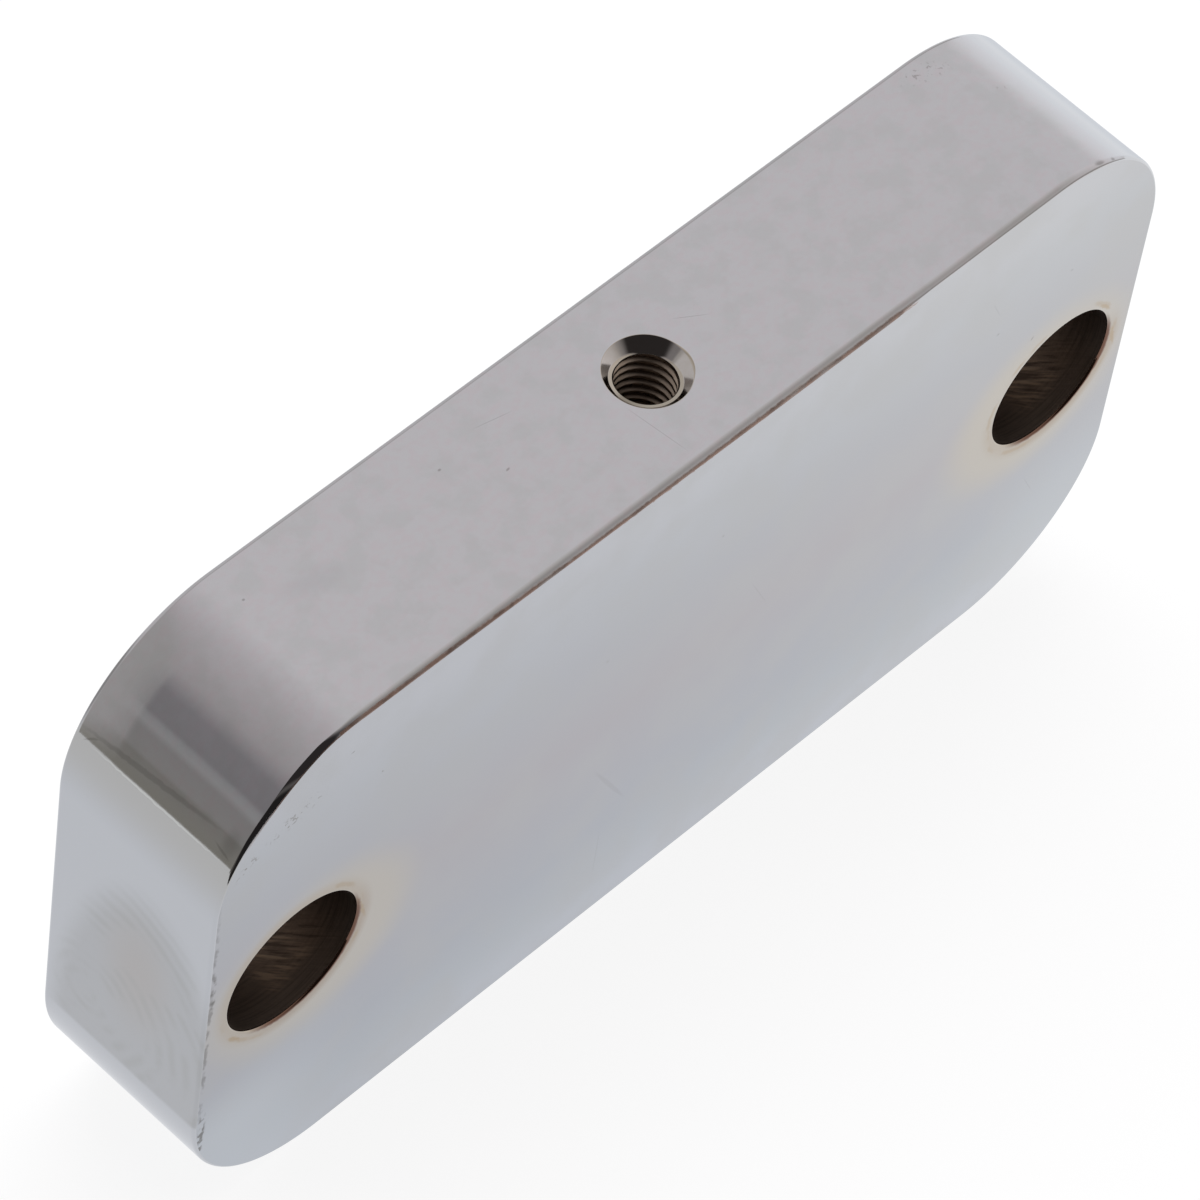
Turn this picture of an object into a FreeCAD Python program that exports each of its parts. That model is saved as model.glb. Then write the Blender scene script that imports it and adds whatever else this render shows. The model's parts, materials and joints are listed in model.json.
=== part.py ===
import FreeCAD, Part
import math
import os

# Machined mounting block: one plated plate with rounded corners, carried by two through bolts.
# A countersunk tapped hole in its upper edge face holds whatever the block carries.
# Millimetres. X runs along the block, Y through its thickness, Z up. The block stands on its lower
# edge face, with the origin at the middle of that face.

# Plate
block_length = 140.0
block_height = 75.8
block_thickness = 22.8
corner_radius = 19.3            # the four corners, seen from the front
edge_radius = 0.5               # polished rounding along the front and back outlines

# Two through holes on the mid-height line
bolt_hole_diameter = 18.3
bolt_hole_end_distance = 12.5   # hole axis to the nearer end face
bolt_hole_rim_radius = 0.25     # burnished rim of the hole, front and back

# Tapped hole in the upper edge face
thread_diameter = 8.0
thread_pitch = 1.25
thread_depth = 18.0             # full thread, below the upper face
drill_runout = 5.0              # drilled wall below the last full thread
drill_point_angle = 118.0
countersink_oversize = 1.6      # mouth diameter beyond the thread diameter
countersink_angle = 90.0
tapped_hole_shift_x = 0.5       # drilled a little off the middle, towards +X
tapped_hole_shift_y = 0.2       # and towards the back face

# Worked out from the above
half_length = block_length / 2
half_thickness = block_thickness / 2
bolt_hole_x = half_length - bolt_hole_end_distance
bolt_hole_z = block_height / 2
tap_drill_radius = (thread_diameter - thread_pitch) / 2
countersink_radius = (thread_diameter + countersink_oversize) / 2
cut_margin = 1.0                # how far a cutting solid stands past the face it enters
match_tolerance = 1e-6          # within this, an edge lies in a face or has a stated radius


def corner_arc(centre_x, centre_z, start_angle):
    # Quarter circle in the front plane, from start_angle on, in degrees from +X towards +Z.
    points = []
    for turn in (0, 45, 90):
        angle = start_angle + turn
        x = centre_x + corner_radius * math.cos(math.radians(angle))
        z = centre_z + corner_radius * math.sin(math.radians(angle))
        points.append(FreeCAD.Vector(x, -half_thickness, z))
    return Part.Arc(*points).toShape()


def front_outline():
    # Four tangent corner arcs, in order round the plate, joined by straight edges.
    centre_x = half_length - corner_radius
    low_z = corner_radius
    high_z = block_height - corner_radius
    arcs = [
        corner_arc(centre_x, high_z, 0),
        corner_arc(-centre_x, high_z, 90),
        corner_arc(-centre_x, low_z, 180),
        corner_arc(centre_x, low_z, 270),
    ]
    edges = []
    for arc, following in zip(arcs, arcs[1:] + arcs[:1]):
        edges.append(arc)
        edges.append(Part.makeLine(arc.Vertexes[-1].Point, following.Vertexes[0].Point))
    return Part.Wire(edges)


def lies_in_face(edge):
    # True for an edge that lies flat in the front or the back face.
    flat = edge.BoundBox.YLength < match_tolerance
    return flat and abs(abs(edge.BoundBox.YMin) - half_thickness) < match_tolerance


def plate():
    blank = Part.Face(front_outline()).extrude(FreeCAD.Vector(0, block_thickness, 0))
    outline_edges = [edge for edge in blank.Edges if lies_in_face(edge)]
    return blank.makeFillet(edge_radius, outline_edges)


def bolt_hole_cutter(x):
    start = FreeCAD.Vector(x, -half_thickness - cut_margin, bolt_hole_z)
    length = block_thickness + 2 * cut_margin
    return Part.makeCylinder(bolt_hole_diameter / 2, length, start, FreeCAD.Vector(0, 1, 0))


def round_bolt_hole_rims(block):
    # The four rims are the circles of the bolt hole's size that lie in the front and back faces.
    rims = []
    for edge in block.Edges:
        if isinstance(edge.Curve, Part.Circle) and lies_in_face(edge):
            if abs(edge.Curve.Radius - bolt_hole_diameter / 2) < match_tolerance:
                rims.append(edge)
    return block.makeFillet(bolt_hole_rim_radius, rims)


def tapped_hole_cutter():
    # Half section turned about the hole's axis: countersink, tapping-drill wall and drill point.
    slope = math.tan(math.radians(countersink_angle / 2))
    mouth_radius = countersink_radius + cut_margin * slope
    countersink_depth = (countersink_radius - tap_drill_radius) / slope
    wall_end = thread_depth + drill_runout
    point_depth = tap_drill_radius / math.tan(math.radians(drill_point_angle / 2))
    section = [
        (0, cut_margin),
        (mouth_radius, cut_margin),
        (tap_drill_radius, -countersink_depth),
        (tap_drill_radius, -wall_end),
        (0, -wall_end - point_depth),
    ]
    points = []
    for radius, height in section + section[:1]:
        x = tapped_hole_shift_x + radius
        points.append(FreeCAD.Vector(x, tapped_hole_shift_y, block_height + height))
    axis_point = FreeCAD.Vector(tapped_hole_shift_x, tapped_hole_shift_y, block_height)
    face = Part.Face(Part.makePolygon(points))
    return face.revolve(axis_point, FreeCAD.Vector(0, 0, 1), 360)


def mounting_block():
    cutters = [bolt_hole_cutter(-bolt_hole_x), bolt_hole_cutter(bolt_hole_x), tapped_hole_cutter()]
    block = plate().cut(cutters)
    return round_bolt_hole_rims(block).Solids[0]


os.makedirs("parts", exist_ok=True)
block = mounting_block()
block.exportStep("parts/mounting_block.step")
print("mounting_block", "valid", block.isValid(), "volume mm3", round(block.Volume, 1))
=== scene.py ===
import json
import math

import bpy
from mathutils import Matrix, Vector
from mathutils.geometry import delaunay_2d_cdt


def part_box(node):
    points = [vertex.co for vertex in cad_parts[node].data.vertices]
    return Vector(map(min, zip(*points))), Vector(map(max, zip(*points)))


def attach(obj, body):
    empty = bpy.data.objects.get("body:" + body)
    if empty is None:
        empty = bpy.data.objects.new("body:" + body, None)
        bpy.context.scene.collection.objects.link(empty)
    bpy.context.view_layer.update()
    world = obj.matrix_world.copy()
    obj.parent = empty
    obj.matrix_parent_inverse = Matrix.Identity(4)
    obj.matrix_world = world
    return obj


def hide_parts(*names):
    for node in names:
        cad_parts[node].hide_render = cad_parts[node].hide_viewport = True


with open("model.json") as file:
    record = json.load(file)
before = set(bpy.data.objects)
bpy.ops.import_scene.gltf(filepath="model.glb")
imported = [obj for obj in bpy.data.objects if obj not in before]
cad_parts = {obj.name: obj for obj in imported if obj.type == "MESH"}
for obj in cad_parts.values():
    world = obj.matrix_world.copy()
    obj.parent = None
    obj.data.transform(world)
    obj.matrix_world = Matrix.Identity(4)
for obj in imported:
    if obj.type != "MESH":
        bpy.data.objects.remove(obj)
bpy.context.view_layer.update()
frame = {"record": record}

# Machined mounting block: buffed chrome plate over nickel and copper, two bolt holes and one tapped hole.
# Sizes are in millimetres, in the frame's own axes, and are turned to metres when a mesh is made.

mm = 0.001
low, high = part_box("mounting_block")
mounts = {mount["name"]: mount for mount in frame["record"]["mounts"]}
print("frame loaded")


def hexColor(code):
    # sRGB hex to linear, with full alpha
    levels = [int(code[i:i + 2], 16) / 255 for i in (1, 3, 5)]
    linear = [v / 12.92 if v <= 0.04045 else ((v + 0.055) / 1.055) ** 2.4 for v in levels]
    return (*linear, 1.0)


def addNode(tree, kind, inputs=None, **settings):
    # inputs: socket name or number to a value, or to another node's output
    node = tree.nodes.new(kind)
    for name, value in settings.items():
        setattr(node, name, value)
    for key, value in (inputs or {}).items():
        if isinstance(value, bpy.types.NodeSocket):
            tree.links.new(value, node.inputs[key])
        else:
            node.inputs[key].default_value = value
    return node


# Block shape
block = {
    "halfLength": (high.x - low.x) / 2 / mm,
    "halfThickness": (high.y - low.y) / 2 / mm,
    "height": (high.z - low.z) / mm,
    "cornerRadius": 19.3,
    "cornerSteps": 48,      # quads round a quarter corner
    "edgeStep": 2.5,        # spacing of points along the straight sides
    "rollSteps": 12,
    "fillGrid": 4.0,        # spacing of points inside the flat faces
}

# Buffed rounding of the outline's edges: depth across the edge face, inset across the broad face, and
# the power of the curve between them (2 is an ellipse, nearer 1 is a flat facet). The front edge changes
# along the upper left corner, where the wheel ground a facet. Turns go from the left end over the top, in
# degrees.
plainRoll = (0.5, 0.32, 2.0)
frontRolls = [
    (20, (0.5, 0.32, 2.0)),
    (27, (0.3, 0.4, 1.4)),
    (36, (0.34, 0.85, 1.15)),
    (48, (0.34, 1.05, 1.12)),
    (60, (0.58, 0.84, 1.12)),
    (72, (0.7, 0.52, 1.15)),
    (77, (0.6, 0.5, 1.3)),
    (80, (0.6, 0.6, 1.8)),
    (90, (0.8, 0.8, 2.0)),
    (106, (0.75, 0.75, 2.0)),
    (124, (0.5, 0.32, 2.0)),
]
onTop = 0.01        # a turn this near to 90 degrees lies on the straight upper edge
# the same along that edge, by x, where the buffing wheel has worn it through to copper
topRolls = [
    (-51, (0.8, 0.8, 2.0)),
    (-40, (0.85, 0.8, 2.0)),
    (-25, (0.9, 1.0, 2.0)),
    (-5, (0.9, 1.1, 2.0)),
    (12, (0.85, 1.25, 2.0)),
    (27, (0.85, 1.25, 2.0)),
    (30, (0.8, 0.8, 2.0)),
    (51, (0.8, 0.8, 2.0)),
]
crown = {
    "turns": (20, 35, 62, 78),      # the upper left corner is buffed slightly round towards both edges
    "lean": math.radians(3.0),
    "rows": [(-8.5, 0.3), (-6.5, 0.0), (5.4, 0.0), (6.3, 0.5)],     # y, share of the lean
}
wornEdge = {
    "turns": (33, 90),      # along the facet's inner border
    "lastX": 32.0,          # and along the top as far as this
    "facetEnd": 80,         # turn where the facet has run out
    "facetSteps": 9,        # first worn strip of the rolled edge, on the facet
    "edgeSteps": 6,         # and on the straight edge
}

boltHole = {
    "centres": [mounts[name]["pos_m"] for name in ("bolt_hole_left", "bolt_hole_right")],
    "fromMiddle": mounts["bolt_hole_right"]["pos_m"][0] / mm,
    "z": mounts["bolt_hole_right"]["pos_m"][2] / mm,
    "radius": mounts["bolt_hole_left"]["dims"]["r_mm"],
    "rimRadius": 0.3,       # burnished by the buffing wheel
    "rimSteps": 6,
    "steps": 128,
    "wallStep": 0.9,        # spacing of rings along the bore
}

tappedHole = {
    "x": mounts["tapped_hole"]["pos_m"][0] / mm,
    "y": mounts["tapped_hole"]["pos_m"][1] / mm,
    "crestRadius": mounts["tapped_hole"]["dims"]["r_mm"],
    "rootRadius": 4.0,      # M8 x 1.25
    "pitch": 1.25,
    "flankSlope": math.tan(math.radians(60)),
    "rootFlat": 0.156,      # an eighth of the pitch
    "firstRoot": 2.23,      # depth of a thread root on the side at startTurn
    "startTurn": math.radians(40),
    "mouthRadius": 4.8,     # 90 degree countersink
    "halfCone": math.radians(45),
    "lipRadius": 0.1,       # edge of the countersink
    "lipSteps": 6,
    "buffedLip": (0.5, -22.0, 38.0),    # more rounded on one side: added radius, middle and half angle
    "firstDepth": 0.3,      # first ring down the cone, below the deepest part of the lip
    "ringShares": (0.0, 0.15, 0.85),    # rings between two bends, kept close to the bends
    # burnished ledge above the first thread, between two circles that lean to one side: radius and shift
    "ledgeSide": -143,
    "ledgeOuter": (3.87, 0.45),
    "ledgeInner": (3.53, 0.36),
    "ledgeLeast": (0.03, 0.01),     # how far the two circles stay outside the thread's crest
    "ledgeFall": (0.005, 0.25),     # least fall, and fall over width
    "throat": (1.44, 0.006),        # end of the wall under the ledge: depth, and radius past the crest
    "mouthEnd": 1.47,       # where the drilled wall starts
    "threadStart": 1.5,
    "threadFade": 0.25,     # depth over which the thread grows to full height
    "threadEnd": 18.0,
    "wallEnd": 23.0,
    "pointDepth": 2.03,     # 118 degree drill point
    "steps": 144,
    "rowStep": 0.0625,
}

edgeFinish, broadFinish, wornFinish, boreFinish, sinkFinish, threadFinish = range(6)
shell = {"points": [], "faces": [], "normals": [], "finishes": []}


def addPoint(x, y, z, normal):
    shell["points"].append((x * mm, y * mm, z * mm))
    return len(shell["points"]) - 1, Vector(normal).normalized()


def addFace(corners, finish):
    # corners: (point number, normal there); the face is turned to agree with its normals
    spots = [Vector(shell["points"][number]) for number, _ in corners]
    facing = (spots[1] - spots[0]).cross(spots[-1] - spots[0])
    if facing.dot(sum((normal for _, normal in corners), Vector())) < 0:
        corners = corners[::-1]
    shell["faces"].append([number for number, _ in corners])
    shell["normals"].extend(normal for _, normal in corners)
    shell["finishes"].append(finish)


def stitch(ring, nextRing, finish, skip=()):
    for i in range(len(ring)):
        if i not in skip:
            j = (i + 1) % len(ring)
            addFace([ring[i], ring[j], nextRing[j], nextRing[i]], finish)


def inLoop(x, y, loop):
    # even-odd count of the loop's edges to the right of the point
    inside = False
    for (ax, ay), (bx, by) in zip(loop, loop[1:] + loop[:1]):
        if (ay > y) != (by > y) and x < ax + (bx - ax) * (y - ay) / (by - ay):
            inside = not inside
    return inside


def fillFlat(loops, depthAxis, normal, finish):
    # a flat face with holes, filled with even triangles; the first loop is the outline
    matchDistance = 1e-5
    keptAxes = [axis for axis in range(3) if axis != depthAxis]
    corners = [corner for loop in loops for corner in loop]
    depth = shell["points"][corners[0][0]][depthAxis] / mm
    outlines = [[tuple(shell["points"][number][axis] / mm for axis in keptAxes) for number, _ in loop]
                for loop in loops]
    border = [Vector(spot) for outline in outlines for spot in outline]
    links = []
    start = 0
    for outline in outlines:
        links += [(start + i, start + (i + 1) % len(outline)) for i in range(len(outline))]
        start += len(outline)
    spots = list(border)
    grid = block["fillGrid"]
    reach = int(block["halfLength"] / grid) + 1
    for column in range(-reach, reach + 1):
        for row in range(-reach, 2 * reach + 1):
            spot = Vector((column * grid, row * grid))
            if not inLoop(*spot, outlines[0]) or any(inLoop(*spot, hole) for hole in outlines[1:]):
                continue
            if min((spot - other).length for other in border) > grid / 2:
                spots.append(spot)
                place = list(spot)
                place.insert(depthAxis, depth)
                corners.append(addPoint(*place, normal))
    _, _, triangles, origins, _, _ = delaunay_2d_cdt(spots, links, [], 0, matchDistance)
    for triangle in triangles:
        numbers = [origins[i][0] for i in triangle]
        middle = sum((spots[i] for i in numbers), Vector((0, 0))) / 3
        if inLoop(*middle, outlines[0]) and not any(inLoop(*middle, hole) for hole in outlines[1:]):
            addFace([corners[i] for i in numbers], finish)


def outlineStations():
    # (x, z, outward x, outward z) round the plate, seen from the front, from the right end upwards
    size = block
    centreX = size["halfLength"] - size["cornerRadius"]
    lowZ = size["cornerRadius"]
    highZ = size["height"] - size["cornerRadius"]
    corners = [(centreX, highZ), (-centreX, highZ), (-centreX, lowZ), (centreX, lowZ)]
    stations = []
    for quarter, (x, z) in enumerate(corners):
        for step in range(size["cornerSteps"] + 1):
            turn = math.pi / 2 * (quarter + step / size["cornerSteps"])
            outX, outZ = math.cos(turn), math.sin(turn)
            stations.append((x + size["cornerRadius"] * outX, z + size["cornerRadius"] * outZ, outX, outZ))
        nextX, nextZ = corners[(quarter + 1) % 4]
        run = math.hypot(nextX - x, nextZ - z)
        parts = round(run / size["edgeStep"])
        startX, startZ, outX, outZ = stations[-1]
        for part in range(1, parts):
            share = part / parts
            stations.append((startX + (nextX - x) * share, startZ + (nextZ - z) * share, outX, outZ))
    return stations


def turnOf(station):
    # degrees round the upper outline: 0 on the left end, 90 on top, 180 on the right end
    return math.degrees(math.atan2(station[3], -station[2]))


def rollAt(station, side):
    place, rolls = turnOf(station), frontRolls
    if abs(place - 90) < onTop:
        place, rolls = station[0], topRolls
    if side == 1 or place < rolls[0][0] or place > rolls[-1][0]:
        return plainRoll
    for (placeA, rollA), (placeB, rollB) in zip(rolls, rolls[1:]):
        if place <= placeB:
            share = (place - placeA) / (placeB - placeA)
            return tuple(a + (b - a) * share for a, b in zip(rollA, rollB))


def crownAt(station):
    start, full, fade, end = crown["turns"]
    turn = turnOf(station)
    rise = min(1.0, max(0.0, (turn - start) / (full - start)))
    fall = min(1.0, max(0.0, (end - turn) / (end - fade)))
    return crown["lean"] * min(rise, fall)


def edgePoint(station, y, inset, lean, side):
    # lean: how far the surface has turned from the edge face towards the broad face, in radians
    x, z, outX, outZ = station
    normal = (outX * math.cos(lean), side * math.sin(lean), outZ * math.cos(lean))
    return addPoint(x - outX * inset, y, z - outZ * inset, normal)


def rollRing(stations, step, side):
    t = math.pi / 2 * step / block["rollSteps"]
    last = step == block["rollSteps"]
    ring = []
    for station in stations:
        deep, across, power = rollAt(station, side)
        inset = across if last else across * (1 - math.cos(t) ** (2 / power))
        y = side * (block["halfThickness"] - deep * (1 - math.sin(t) ** (2 / power)))
        lean = math.pi / 2 if last else math.atan(math.tan(t) ** (2 - 2 / power) * across / deep)
        start = crownAt(station)
        ring.append(edgePoint(station, y, inset, start + lean * (1 - start / (math.pi / 2)), side))
    return ring


def isWorn(station, step):
    turn = turnOf(station)
    first, last = wornEdge["turns"]
    if turn < first or turn > last + onTop or station[0] > wornEdge["lastX"]:
        return False
    return step >= (wornEdge["edgeSteps"] if turn > wornEdge["facetEnd"] else wornEdge["facetSteps"])


def buildOutside(stations):
    # rings from the front face round the edge to the back face; returns what the flat faces need
    firstTop = block["cornerSteps"]
    topCount = round((2 * (block["halfLength"] - block["cornerRadius"])) / block["edgeStep"])
    lastTop = firstTop + topCount
    topParts = range(firstTop, lastTop)
    rolls = {}
    for side in (-1, 1):
        rolls[side] = [rollRing(stations, step, side) for step in range(block["rollSteps"] + 1)]
        for step, (ring, nextRing) in enumerate(zip(rolls[side], rolls[side][1:])):
            worn = [i for i, station in enumerate(stations) if side == -1 and isWorn(station, step)]
            stitch(ring, nextRing, edgeFinish, skip=worn)
            others = [i for i in range(len(stations)) if i not in worn]
            stitch(ring, nextRing, wornFinish, skip=others)
    middle = [rolls[-1][0]]
    for y, share in crown["rows"]:
        side = math.copysign(1, y)
        middle.append([edgePoint(station, y, 0, crownAt(station) * share, side) for station in stations])
    middle.append(rolls[1][0])
    for ring, nextRing in zip(middle, middle[1:]):
        stitch(ring, nextRing, edgeFinish, skip=topParts)
    topLoop = middle[0][firstTop:lastTop] + [ring[lastTop] for ring in middle]
    topLoop += middle[-1][firstTop:lastTop][::-1] + [ring[firstTop] for ring in middle[-2:0:-1]]
    return rolls[-1][-1], rolls[1][-1], topLoop


def boreRing(x, z, radius, y, lean, side):
    ring = []
    for step in range(boltHole["steps"]):
        turn = 2 * math.pi * step / boltHole["steps"]
        outX, outZ = math.cos(turn), math.sin(turn)
        normal = (-outX * math.cos(lean), side * math.sin(lean), -outZ * math.cos(lean))
        ring.append(addPoint(x + radius * outX, y, z + radius * outZ, normal))
    return ring


def buildBoltHole(centre):
    x, z = centre[0] / mm, centre[2] / mm
    rim, radius, half = boltHole["rimRadius"], boltHole["radius"], block["halfThickness"]
    rims = {}
    for side in (-1, 1):
        rims[side] = []
        for step in range(boltHole["rimSteps"] + 1):
            lean = math.pi / 2 * (1 - step / boltHole["rimSteps"])
            ringRadius = radius + rim * (1 - math.cos(lean))
            y = side * (half - rim * (1 - math.sin(lean)))
            rims[side].append(boreRing(x, z, ringRadius, y, lean, side))
        for ring, nextRing in zip(rims[side], rims[side][1:]):
            stitch(ring, nextRing, broadFinish)
    wallLength = 2 * (half - rim)
    parts = round(wallLength / boltHole["wallStep"])
    walls = [rims[-1][-1]]
    for part in range(1, parts):
        walls.append(boreRing(x, z, radius, -half + rim + wallLength * part / parts, 0, 1))
    walls.append(rims[1][-1])
    for ring, nextRing in zip(walls, walls[1:]):
        stitch(ring, nextRing, boreFinish)
    return rims[-1][0], rims[1][0]


def leaningCircle(turn, radius, shift):
    # distance from the hole's axis to a circle shifted towards the ledge's side
    off = turn - math.radians(tappedHole["ledgeSide"])
    return shift * math.cos(off) + math.sqrt(radius ** 2 - (shift * math.sin(off)) ** 2)


def mouthProfile(turn):
    # depth and radius down the countersink; the ledge runs out on the far side
    hole = tappedHole
    crest = hole["crestRadius"]
    leastOuter, leastInner = hole["ledgeLeast"]
    outer = max(leaningCircle(turn, *hole["ledgeOuter"]), crest + leastOuter)
    inner = max(leaningCircle(turn, *hole["ledgeInner"]), crest + leastInner)
    coneEnd = hole["mouthRadius"] - outer
    leastFall, slope = hole["ledgeFall"]
    ledgeEnd = coneEnd + leastFall + slope * (outer - inner)
    throatDepth, throatGap = hole["throat"]
    return [(0.0, hole["mouthRadius"]), (coneEnd, outer), (ledgeEnd, inner),
            (throatDepth, crest + throatGap), (hole["mouthEnd"], crest)]


def mouthDepths(turn):
    # rings close to each bend of the profile keep it crisp
    bends = [tappedHole["firstDepth"]] + [depth for depth, _ in mouthProfile(turn)[1:]]
    depths = []
    for start, end in zip(bends, bends[1:]):
        depths += [start + (end - start) * share for share in tappedHole["ringShares"]]
    return depths + bends[-1:]


def threadRadius(turn, depth):
    # right-handed internal thread, cut away above by the countersink's cone
    hole = tappedHole
    phase = (depth - hole["firstRoot"]) / hole["pitch"] + (turn - hole["startTurn"]) / (2 * math.pi)
    offRoot = abs(phase - round(phase)) * hole["pitch"]
    rise = max(0.0, offRoot - hole["rootFlat"] / 2) * hole["flankSlope"]
    cut = max(0.0, hole["rootRadius"] - rise - hole["crestRadius"])
    cut *= min(1.0, max(0.0, (hole["threadEnd"] - depth) / hole["pitch"]))
    cut *= min(1.0, max(0.0, (depth - hole["threadStart"]) / hole["threadFade"]))
    if depth >= hole["mouthEnd"]:
        return hole["crestRadius"] + cut
    profile = mouthProfile(turn)
    for (depthA, radiusA), (depthB, radiusB) in zip(profile, profile[1:]):
        if depth < depthB:
            return radiusA + (radiusB - radiusA) * (depth - depthA) / (depthB - depthA)


def lipAt(turn):
    added, middle, half = tappedHole["buffedLip"]
    off = (math.degrees(turn) - middle + 180) % 360 - 180
    share = 0.5 + 0.5 * math.cos(math.pi * min(1.0, abs(off) / half))
    return tappedHole["lipRadius"] + added * share


def holePoint(turn, depth):
    # the normal comes from the slope of the radius over one step each way
    hole = tappedHole
    radius = threadRadius(turn, depth)
    turnStep, depthStep = math.pi / hole["steps"], hole["rowStep"] / 2
    byTurn = threadRadius(turn + turnStep, depth) - threadRadius(turn - turnStep, depth)
    byDepth = threadRadius(turn, depth + depthStep) - threadRadius(turn, depth - depthStep)
    outX, outY = math.cos(turn), math.sin(turn)
    slide = byTurn / (2 * turnStep * radius)
    normal = (-outX - outY * slide, -outY + outX * slide, -byDepth / (2 * depthStep))
    place = (hole["x"] + radius * outX, hole["y"] + radius * outY, block["height"] - depth)
    return addPoint(*place, normal)


def buildTappedHole():
    hole = tappedHole
    turns = [2 * math.pi * step / hole["steps"] for step in range(hole["steps"])]
    lipRings = []
    for step in range(hole["lipSteps"] + 1):
        lean = hole["halfCone"] * step / hole["lipSteps"]
        ring = []
        for turn in turns:
            lip = lipAt(turn)
            radius = hole["mouthRadius"] + lip * (math.tan(hole["halfCone"] / 2) - math.sin(lean))
            z = block["height"] - lip * (1 - math.cos(lean))
            outX, outY = math.cos(turn), math.sin(turn)
            normal = (-outX * math.sin(lean), -outY * math.sin(lean), math.cos(lean))
            ring.append(addPoint(hole["x"] + radius * outX, hole["y"] + radius * outY, z, normal))
        lipRings.append(ring)
    for ring, nextRing in zip(lipRings, lipRings[1:]):
        stitch(ring, nextRing, sinkFinish)
    ring = lipRings[-1]
    for depths in zip(*[mouthDepths(turn) for turn in turns]):
        nextRing = [holePoint(turn, depth) for turn, depth in zip(turns, depths)]
        stitch(ring, nextRing, sinkFinish)
        ring = nextRing
    rows = round((hole["threadEnd"] - hole["threadStart"]) / hole["rowStep"])
    depths = [hole["threadStart"] + hole["rowStep"] * row for row in range(rows + 1)]
    for depth in depths + [hole["wallEnd"]]:
        nextRing = [holePoint(turn, depth) for turn in turns]
        stitch(ring, nextRing, threadFinish)
        ring = nextRing
    tipZ = block["height"] - hole["wallEnd"] - hole["pointDepth"]
    tip = addPoint(hole["x"], hole["y"], tipZ, (0, 0, 1))
    for i in range(len(ring)):
        addFace([ring[i], ring[(i + 1) % len(ring)], tip], threadFinish)
    return lipRings[0]


def buildBlock(materials):
    stations = outlineStations()
    frontLoop, backLoop, topLoop = buildOutside(stations)
    rims = [buildBoltHole(centre) for centre in boltHole["centres"]]
    fillFlat([frontLoop] + [front for front, _ in rims], 1, (0, -1, 0), broadFinish)
    fillFlat([backLoop] + [back for _, back in rims], 1, (0, 1, 0), broadFinish)
    fillFlat([topLoop, buildTappedHole()], 2, (0, 0, 1), edgeFinish)
    mesh = bpy.data.meshes.new("plated_block")
    mesh.from_pydata(shell["points"], [], shell["faces"])
    for material in materials:
        mesh.materials.append(material)
    mesh.polygons.foreach_set("material_index", shell["finishes"])
    mesh.polygons.foreach_set("use_smooth", [True] * len(mesh.polygons))
    mesh.normals_split_custom_set(shell["normals"])
    mesh.update()
    piece = bpy.data.objects.new("plated_block", mesh)
    bpy.context.scene.collection.objects.link(piece)
    return piece


def newMaterial(name):
    material = bpy.data.materials.new(name)
    material.use_nodes = True
    tree = material.node_tree
    tree.nodes.clear()
    output = tree.nodes.new("ShaderNodeOutputMaterial")
    shader = tree.nodes.new("ShaderNodeBsdfPrincipled")
    tree.links.new(shader.outputs[0], output.inputs["Surface"])
    spot = tree.nodes.new("ShaderNodeTexCoord")
    place = addNode(tree, "ShaderNodeVectorMath", {
        0: spot.outputs["Object"], "Scale": 1 / mm,
    }, operation="SCALE").outputs[0]
    return material, tree, shader, place   # the place is in millimetres


def flawMask(tree, place, flaws, flatAxis, edge=0.5, depth=8.0):
    # 1 inside small ellipses on a face, 0 outside; a flaw is (x, y, z, half length, half width, degrees)
    total = None
    for x, y, z, long, wide, angle in flaws:
        turn, size = (0, 0, math.radians(angle)), (long, wide, depth)
        if flatAxis == "Y":
            turn, size = (0, -math.radians(angle), 0), (long, depth, wide)
        if flatAxis == "X":
            turn, size = (math.radians(angle), 0, 0), (depth, long, wide)
        local = addNode(tree, "ShaderNodeMapping", {
            "Vector": place, "Location": (x, y, z), "Rotation": turn, "Scale": size,
        }, vector_type="TEXTURE")
        reach = addNode(tree, "ShaderNodeVectorMath", {0: local.outputs[0]}, operation="LENGTH")
        mark = addNode(tree, "ShaderNodeMapRange", {
            "Value": reach.outputs["Value"], "From Min": 1.0, "From Max": edge,
        }, interpolation_type="SMOOTHSTEP").outputs[0]
        if total is not None:
            mark = addNode(tree, "ShaderNodeMath", {0: total, 1: mark}, operation="MAXIMUM").outputs[0]
        total = mark
    return total


def gate(tree, value, start, end):
    # smooth step between two levels; the higher level may come first
    return addNode(tree, "ShaderNodeMapRange", {
        "Value": value, "From Min": start, "From Max": end,
    }, interpolation_type="SMOOTHSTEP").outputs[0]


def combine(tree, operation, *values):
    result = values[0]
    for value in values[1:]:
        result = addNode(tree, "ShaderNodeMath", {0: result, 1: value}, operation=operation).outputs[0]
    return result


def layTones(tree, tone, layers):
    # layers: (mask, strength, tone) laid one over another
    for mask, strength, nextTone in layers:
        share = combine(tree, "MULTIPLY", mask, strength)
        color = hexColor(nextTone) if isinstance(nextTone, str) else nextTone
        tone = addNode(tree, "ShaderNodeMix", {"Factor": share, "A": tone, "B": color},
                       data_type="RGBA").outputs["Result"]
    return tone


def noiseValue(tree, place, scale, detail=3.0, stretch=None):
    if stretch:
        place = addNode(tree, "ShaderNodeVectorMath", {0: place, 1: stretch},
                        operation="MULTIPLY").outputs[0]
    noise = addNode(tree, "ShaderNodeTexNoise", {"Vector": place, "Scale": scale, "Detail": detail})
    return noise.outputs[0]


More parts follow.
